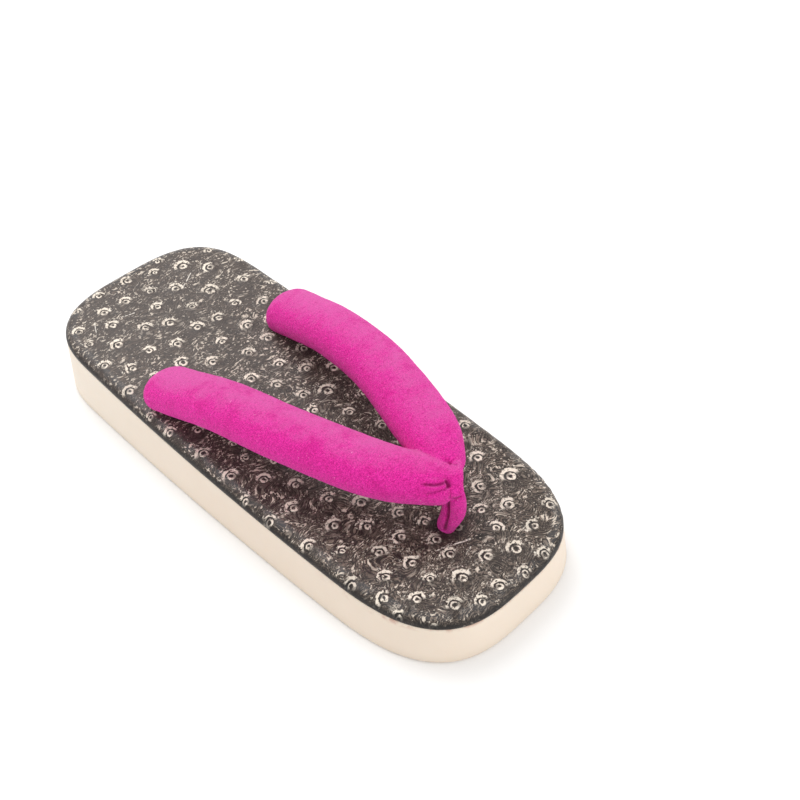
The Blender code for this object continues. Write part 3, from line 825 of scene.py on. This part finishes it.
class Shader:
    """Short calls that build the nodes of one material."""

    def __init__(self, name):
        self.material = bpy.data.materials.new(name)
        self.material.use_nodes = True
        self.nodes = self.material.node_tree.nodes
        self.links = self.material.node_tree.links
        self.principled = self.nodes["Principled BSDF"]
        coordinates = self.nodes.new("ShaderNodeTexCoord").outputs["Object"]
        # The object's own coordinates, in millimetres
        self.place = self.scaled(coordinates, 1000)

    def node(self, kind, sockets=(), **settings):
        """A node with its settings, and its sockets set or linked."""
        made = self.nodes.new("ShaderNode" + kind)
        for name, value in settings.items():
            setattr(made, name, value)
        for name, value in dict(sockets).items():
            self.put(made.inputs[name], value)
        return made

    def put(self, socket, value):
        """Link a value that is another node's output, or else set it."""
        if isinstance(value, bpy.types.NodeSocket):
            self.links.new(value, socket)
        else:
            socket.default_value = value

    def scaled(self, vector, scale):
        """A vector times a number."""
        return self.node("VectorMath", {0: vector, "Scale": scale}, operation="SCALE").outputs[0]

    def squeezed(self, vector, factors):
        """A vector times three numbers."""
        return self.node("VectorMath", {0: vector, 1: factors}, operation="MULTIPLY").outputs[0]

    def moved(self, vector, shift):
        """The sum of two vectors."""
        return self.node("VectorMath", {0: vector, 1: shift}, operation="ADD").outputs[0]

    def part(self, vector, axis):
        """The X, Y or Z of a vector."""
        return self.node("SeparateXYZ", {0: vector}).outputs[axis]

    def dot(self, first, second):
        """The dot product of two vectors."""
        return self.node("VectorMath", {0: first, 1: second}, operation="DOT_PRODUCT").outputs["Value"]

    def distance(self, first, second):
        """How far apart two points are."""
        return self.node("VectorMath", {0: first, 1: second}, operation="DISTANCE").outputs["Value"]

    def math(self, operation, first, second=0.0, third=0.0, clamp=False):
        """One sum of up to three numbers."""
        sockets = {0: first, 1: second, 2: third}
        return self.node("Math", sockets, operation=operation, use_clamp=clamp).outputs[0]

    def product(self, *values):
        """Several numbers multiplied."""
        result = values[0]
        for value in values[1:]:
            result = self.math("MULTIPLY", result, value)
        return result

    def noise(self, vector, size, detail, roughness):
        """Noise from 0 to 1 with features of about a size in millimetres."""
        sockets = {"Vector": vector, "Scale": 1 / size, "Detail": detail, "Roughness": roughness}
        return self.node("TexNoise", sockets).outputs["Fac"]

    def noise_vector(self, vector, size, detail):
        """A noise vector, each part from -0.5 to 0.5."""
        made = self.node("TexNoise", {"Vector": vector, "Scale": 1 / size, "Detail": detail})
        return self.moved(made.outputs["Color"], (-0.5, -0.5, -0.5))

    def ramp(self, value, low, high, result_low=0.0, result_high=1.0):
        """A soft step between two values."""
        sockets = {"Value": value, "From Min": low, "From Max": high}
        sockets.update({"To Min": result_low, "To Max": result_high})
        return self.node("MapRange", sockets, interpolation_type="SMOOTHSTEP").outputs[0]

    def band(self, value, middle, half, soft):
        """1 where a value is within half of the middle, and 0 past soft beyond that."""
        off = self.math("ABSOLUTE", self.math("SUBTRACT", value, middle))
        return self.ramp(off, half, half + soft, 1.0, 0.0)

    def rim(self, value, middle, half, soft):
        """As band, for a half width that varies over the surface."""
        off = self.math("SUBTRACT", self.math("ABSOLUTE", self.math("SUBTRACT", value, middle)), half)
        return self.ramp(off, 0.0, soft, 1.0, 0.0)

    def mix(self, share, first, second):
        """Two colours mixed by a share."""
        made = self.nodes.new("ShaderNodeMix")
        made.data_type = "RGBA"
        self.put(made.inputs["Factor"], share)
        self.put(made.inputs["A"], first)
        self.put(made.inputs["B"], second)
        return made.outputs["Result"]

    def attribute(self, name):
        """A number that the mesh holds at each vertex."""
        return self.node("Attribute", attribute_name=name).outputs["Fac"]

    def scratches(self, rows, breaks):
        """1 along thin lines between the points of some rows, faint where breaks is low."""
        result = 0.0
        for start_x, start_y, end_x, end_y, half in rows:
            reach = Vector((end_x - start_x, end_y - start_y, 0.0))
            away = self.squeezed(self.moved(self.place, (-start_x, -start_y, 0.0)), (1.0, 1.0, 0.0))
            measure = tuple(reach / reach.length_squared)
            foot = self.math("ADD", self.dot(away, measure), 0.0, clamp=True)
            gap = self.distance(away, self.scaled(tuple(reach), foot))
            line = self.ramp(gap, half, half + 0.28, 1.0, 0.0)
            result = self.math("MAXIMUM", result, line)
        return self.product(result, self.ramp(breaks, 0.40, 0.54))

    def bump(self, height, distance, strength=1.0, normal=None):
        """Relief of a height given as a share of a distance in metres."""
        sockets = {"Height": height, "Distance": distance, "Strength": strength}
        if normal is not None:
            sockets["Normal"] = normal
        return self.node("Bump", sockets).outputs[0]

    def set(self, **sockets):
        """Set or link sockets of the surface shader, with underscores for the spaces in their names."""
        for name, value in sockets.items():
            self.put(self.principled.inputs[name.replace("_", " ")], value)


def foam_material():
    """Cream foam: matt, a little darker along the tread, with faint glue stains and fine pores."""
    s = Shader("cream_foam")
    height = s.part(s.place, "Z")
    along = s.part(s.place, "Y")
    blotch = s.noise(s.place, 28, 3.0, 0.55)
    colour = s.mix(blotch, FOAM_CREAM, FOAM_PALE)
    colour = s.mix(s.ramp(along, -30, 110, 0.0, 0.45), colour, FOAM_HEEL)
    tread = s.ramp(height, 0.0, 5.0, 0.30, 0.0)
    colour = s.mix(tread, colour, FOAM_TREAD)
    near_rim = s.ramp(s.math("ADD", height, s.product(along, 0.0333)), 12.0, 14.4)
    stain = s.product(s.ramp(s.noise(s.place, 7, 4.0, 0.6), 0.44, 0.62), near_rim)
    stain = s.product(stain, s.ramp(along, -50, -100, 0.0, 0.8))
    colour = s.mix(stain, colour, FOAM_STAIN)
    speck = s.ramp(s.noise(s.place, 0.7, 2.0, 0.6), 0.70, 0.80)
    colour = s.mix(s.product(speck, 0.18), colour, FOAM_SPECK)
    pores = s.noise(s.place, 0.45, 3.0, 0.6)
    skin = s.noise(s.place, 6.0, 2.0, 0.5)
    relief = s.bump(pores, 0.00006, 0.5, s.bump(skin, 0.0004, 0.25))
    s.set(Base_Color=colour, Roughness=s.ramp(skin, 0.3, 0.7, 0.50, 0.64), Normal=relief)
    s.set(Subsurface_Weight=0.08, Subsurface_Scale=0.004)
    s.set(Subsurface_Radius=(1.0, 0.7, 0.45), Specular_IOR_Level=0.35)
    return s.material


def cover_material():
    """Embossed leather-like sheet: near-black brown with fine swirling grain and pale rubbed quill marks."""
    s = Shader("embossed_cover")
    wobble = s.noise_vector(s.place, 1.5, 2.0)
    u = s.math("ADD", s.attribute("quill_u"), s.product(s.part(wobble, "X"), MARK_WOBBLE))
    v = s.math("ADD", s.attribute("quill_v"), s.product(s.part(wobble, "Y"), MARK_WOBBLE))
    reach = s.attribute("quill_reach")
    from_edge = s.math("ADD", s.attribute("from_edge"), s.product(s.part(wobble, "Z"), MARK_WOBBLE))

    # Three numbers differ from mark to mark: seed turns the side where its ring is rubbed away, second sets
    # the ring's radius and how dark its hole is, and third where the hole lies and how pale the mark is.
    seed = s.attribute("quill_seed")
    second = s.math("FRACT", s.product(seed, 7.31))
    third = s.math("FRACT", s.product(seed, 13.7))

    def length(a, b):
        return s.math("SQRT", s.math("ADD", s.product(a, a), s.product(b, b)))

    ring_distance = length(u, v)
    arc_distance = length(u, s.math("SUBTRACT", v, ARC_CENTRE))
    turn = s.product(seed, math.tau)
    towards = s.math("ADD", s.product(u, s.math("COSINE", turn)), s.product(v, s.math("SINE", turn)))
    divisor = s.math("ADD", ring_distance, 0.2)
    rubbed = s.ramp(s.math("DIVIDE", towards, divisor), 0.35, 0.85, 1.0, 0.30)
    radius = s.math("MULTIPLY_ADD", second, RING_RADIUS_SPREAD, RING_RADIUS)
    upper = s.ramp(v, -0.5, 1.2)
    breaks = s.noise(s.moved(s.place, s.scaled(wobble, 2.0)), 1.0, 2.0, 0.6)
    lower = s.math("DIVIDE", v, divisor)
    thick = s.math("MULTIPLY_ADD", lower, -0.14, 0.28)
    ring = s.product(s.rim(ring_distance, radius, thick, 0.22), s.ramp(breaks, 0.33, 0.45), rubbed)
    arc = s.band(arc_distance, PALE_ARC_RADIUS, PALE_ARC_HALF, 0.28)
    arc = s.product(arc, upper, s.ramp(breaks, 0.37, 0.46))
    flecks = s.band(arc_distance, FLECKS_RADIUS, FLECKS_HALF, 0.9)
    flecks = s.product(flecks, upper, s.ramp(breaks, 0.585, 0.635))
    # Painted shadow in the arc-shaped pit on the heel side of each mark; the hole is the mark's dark centre.
    pit = s.product(s.band(arc_distance, PIT_SHADOW_RADIUS, PIT_SHADOW_HALF, 0.38), upper)
    off_centre = length(s.math("SUBTRACT", u, s.product(third, 0.5)), s.math("SUBTRACT", v, 0.35))
    hole = s.product(s.ramp(off_centre, 0.2, 0.7, 1.0, 0.0), s.ramp(second, 0.10, 0.40, 0.25, 1.0))
    marks = s.math("MAXIMUM", ring, s.math("MAXIMUM", arc, flecks))
    marks = s.product(marks, reach, s.ramp(third, 0.0, 0.6, 0.80, 1.0))
    pit_shadow_and_hole = s.product(s.math("MAXIMUM", pit, hole), reach)

    # Fine lines of the grain swirl about, mostly across the sandal, and more at the toe than at the heel.
    along = s.part(s.place, "Y")
    swirl = s.moved(s.place, s.scaled(s.noise_vector(s.place, 14, 1.0), s.ramp(along, -40, 60, 25, 10)))
    strokes = s.noise(s.squeezed(swirl, (0.20, 1.0, 1.0)), 0.54, 1.5, 0.55)
    hairline = s.ramp(s.noise(s.squeezed(swirl, (0.25, 1.0, 1.0)), 0.40, 2.0, 0.60), 0.42, 0.62)
    patches = s.noise(s.place, 6.0, 2.0, 0.5)
    grain = s.product(s.ramp(strokes, 0.515, 0.570), s.ramp(patches, 0.30, 0.60, 0.55, 1.0))
    clear = s.ramp(ring_distance, 2.4, 4.4, 0.5, 1.0)
    grain = s.product(grain, s.ramp(along, -70, 40, 0.54, 0.24), clear)
    scatter = s.noise(s.squeezed(swirl, (0.45, 1.0, 1.0)), 1.25, 2.0, 0.60)
    dashes = s.product(s.ramp(scatter, 0.575, 0.615), s.ramp(patches, 0.38, 0.56))
    dots = s.product(s.ramp(s.noise(s.moved(s.place, (31, 17, 5)), 1.05, 1.0, 0.5), 0.66, 0.71), 0.8)
    dashes = s.product(s.math("MAXIMUM", dashes, dots), s.math("SUBTRACT", 1.0, s.product(reach, 0.70)))
    dashes = s.product(dashes, s.ramp(along, 0, 70, 1.0, 0.84))

    # The sheet has painted shade where it turns down over the rim, and a painted shine just inside it.
    rim_painted_shade = s.product(s.ramp(from_edge, 0.3, 1.5, 1.0, 0.0), s.ramp(patches, 0.34, 0.52, 0.55, 1.0))
    painted_shine = s.product(s.band(from_edge, 3.4, 0.8, 1.6), s.ramp(patches, 0.34, 0.56))
    outside_rim_shade = s.math("SUBTRACT", 1.0, s.product(rim_painted_shade, 0.75))

    tone = s.noise(s.place, 22, 2.0, 0.5)
    brown = s.mix(tone, SHEET_DARK, SHEET_BROWN)
    # Painted sheen: the ground turns lighter and greyer towards the heel, where the top light reflects.
    ground = s.mix(s.ramp(along, -40, 90), brown, SHEET_HEEL_PAINTED_SHEEN)
    ground = s.mix(s.product(hairline, 0.40), ground, SHEET_HAIRLINE)
    # Painted shine: a band of reflection just inside the rim.
    ground = s.mix(s.product(painted_shine, 0.5), ground, SHEET_PAINTED_SHINE)
    pale = s.mix(tone, GRAIN_TAN, GRAIN_GREY)
    colour = s.mix(s.product(grain, outside_rim_shade), ground, pale)
    colour = s.mix(s.product(dashes, 0.90, outside_rim_shade), colour, DASH_PALE)
    colour = s.mix(s.product(pit_shadow_and_hole, 0.80), colour, QUILL_PIT_SHADOW_AND_HOLE)
    marks = s.product(marks, outside_rim_shade)
    colour = s.mix(marks, colour, s.mix(breaks, QUILL_TAN, QUILL_CREAM))
    colour = s.mix(s.scratches(SCRATCHES, breaks), colour, SCRATCH_PALE)
    # Painted shade on the rim, where the sheet turns down.
    colour = s.mix(s.product(rim_painted_shade, 0.85), colour, SHEET_RIM_PAINTED_SHADE)
    # Painted shade darkens the sheet round the thong, where it goes in.
    foot = s.distance(s.place, THONG_FOOT)
    colour = s.mix(s.ramp(foot, 4.2, 8.5, 0.80, 0.0), colour, SHEET_THONG_PAINTED_SHADE)

    fine = s.noise(s.place, 0.35, 2.0, 0.6)
    height = s.math("ADD", s.product(strokes, 0.5), s.product(marks, 0.5))
    relief = s.bump(height, 0.00032, 0.8, s.bump(fine, 0.00008, 0.5))
    roughness = s.ramp(strokes, 0.3, 0.7, 0.36, 0.54)
    s.set(Base_Color=colour, Roughness=roughness, Normal=relief, Specular_IOR_Level=0.26)
    s.set(Coat_Weight=0.10, Coat_Roughness=0.30)
    return s.material


def plush_material():
    """Magenta plush: a dense short nap, with painted light that makes it paler on top and towards the heel,
    painted shade in its creases and between its tufts, and brushed darker in places.
    """
    s = Shader("magenta_plush")
    nap = s.noise(s.place, 0.44, 3.0, 0.7)
    tufts = s.noise(s.place, 1.0, 2.0, 0.6)
    brushed = s.noise(s.place, 8, 4.0, 0.60)
    # Painted top light: the plush is paler where its surface faces up and back, less so near the nose.
    normal = s.node("TexCoord").outputs["Normal"]
    toward_painted_light = s.dot(normal, PAINTED_LIGHT_DIRECTION)
    toward_painted_light = s.math("ADD", toward_painted_light, s.product(s.math("SUBTRACT", brushed, 0.5), 0.8))
    along = s.part(s.place, "Y")
    painted_top_light = s.product(s.ramp(toward_painted_light, 0.48, 1.06, 0.0, 0.76), s.ramp(along, -80, -55, 0.60, 1.0))
    colour = s.mix(s.ramp(nap, 0.36, 0.64), PLUSH_DEEP, PLUSH_BRIGHT)
    colour = s.mix(painted_top_light, colour, s.mix(nap, PLUSH_PAINTED_LIGHT_DEEP, PLUSH_PAINTED_LIGHT_PALE))
    # Painted shade in the hollows between the tufts, where the relief is low.
    colour = s.mix(s.ramp(tufts, 0.30, 0.48, 0.35, 0.0), colour, PLUSH_TUFT_SHADE)
    colour = s.mix(s.ramp(brushed, 0.32, 0.47, 0.32, 0.0), colour, PLUSH_BRUSHED)
    lint = s.ramp(s.noise(s.moved(s.place, (11, 5, 3)), 0.75, 1.0, 0.5), 0.755, 0.80)
    colour = s.mix(s.product(lint, 0.75), colour, PLUSH_LINT)
    # Painted shade in the creases.
    colour = s.mix(s.ramp(s.attribute("crease"), 0.10, 0.9, 0.0, 0.80), colour, PLUSH_CREASE_SHADE)
    height = s.math("ADD", s.product(nap, 0.6), s.product(tufts, 0.4))
    relief = s.bump(height, 0.00090, 1.0)
    s.set(Base_Color=colour, Roughness=0.95, Normal=relief, Specular_IOR_Level=0.08)
    s.set(Subsurface_Weight=0.14, Subsurface_Scale=0.003, Subsurface_Radius=(1.0, 0.30, 0.60))
    s.set(Sheen_Weight=0.26, Sheen_Roughness=0.40, Sheen_Tint=PLUSH_SHEEN)
    return s.material


def floor_material():
    """Plain white board."""
    s = Shader("white_board")
    tone = s.noise(s.place, 300, 2.0, 0.5)
    colour = s.mix(tone, BOARD_GREY, BOARD_WHITE)
    s.set(Base_Color=colour, Roughness=0.9, Specular_IOR_Level=0.1)
    return s.material


def make_floor():
    """A plain pale floor under the sandal."""
    side = FLOOR_HALF_SIDE
    points = [(-side, -side, 0), (side, -side, 0), (side, side, 0), (-side, side, 0)]
    floor = new_piece("floor", points, [(0, 1, 2, 3)], floor_material())


def make_light(name, place, size, power):
    """A soft square lamp, turned to the middle of the sandal."""
    lamp = bpy.data.lights.new(name, "AREA")
    lamp.shape = "SQUARE"
    lamp.size = size
    lamp.energy = power
    holder = bpy.data.objects.new(name, lamp)
    bpy.context.scene.collection.objects.link(holder)
    holder.location = place
    holder.rotation_euler = (-Vector(place)).to_track_quat("-Z", "Y").to_euler()


def make_lights():
    """White surroundings and the lamps."""
    world = bpy.data.worlds.new("studio")
    bpy.context.scene.world = world
    world.use_nodes = True
    background = world.node_tree.nodes["Background"]
    background.inputs["Color"].default_value = (1, 1, 1, 1)
    background.inputs["Strength"].default_value = WORLD_STRENGTH
    for lamp in LAMPS:
        make_light(**lamp)
    bpy.context.scene.view_settings.view_transform = "Standard"


def make_camera():
    """The camera of the photograph."""
    sine = math.sin(CAMERA_AZIMUTH)
    cosine = math.cos(CAMERA_AZIMUTH)
    level = math.cos(CAMERA_ELEVATION)
    forward = Vector((-sine * level, cosine * level, -math.sin(CAMERA_ELEVATION)))
    right = Vector((cosine, sine, 0))
    up = right.cross(forward)
    turned_right = right * math.cos(CAMERA_ROLL) + up * math.sin(CAMERA_ROLL)
    turned_up = up * math.cos(CAMERA_ROLL) - right * math.sin(CAMERA_ROLL)
    camera = bpy.data.objects.new("camera", bpy.data.cameras.new("camera"))
    bpy.context.scene.collection.objects.link(camera)
    matrix = Matrix((turned_right, turned_up, -forward)).transposed().to_4x4()
    matrix.translation = CAMERA_TARGET - forward * CAMERA_DISTANCE
    camera.matrix_world = matrix
    camera.data.sensor_width = SENSOR_WIDTH
    camera.data.lens = FOCAL_PIXELS / PICTURE_PIXELS * SENSOR_WIDTH
    camera.data.clip_start = CLIP_START
    camera.data.clip_end = CLIP_END
    bpy.context.scene.camera = camera


def main():
    """Build the scene."""
    plush = plush_material()
    make_camera()
    make_sole(foam_material())
    make_cover(cover_material())
    make_straps(plush)
    make_thong(plush)
    make_floor()
    make_lights()


main()
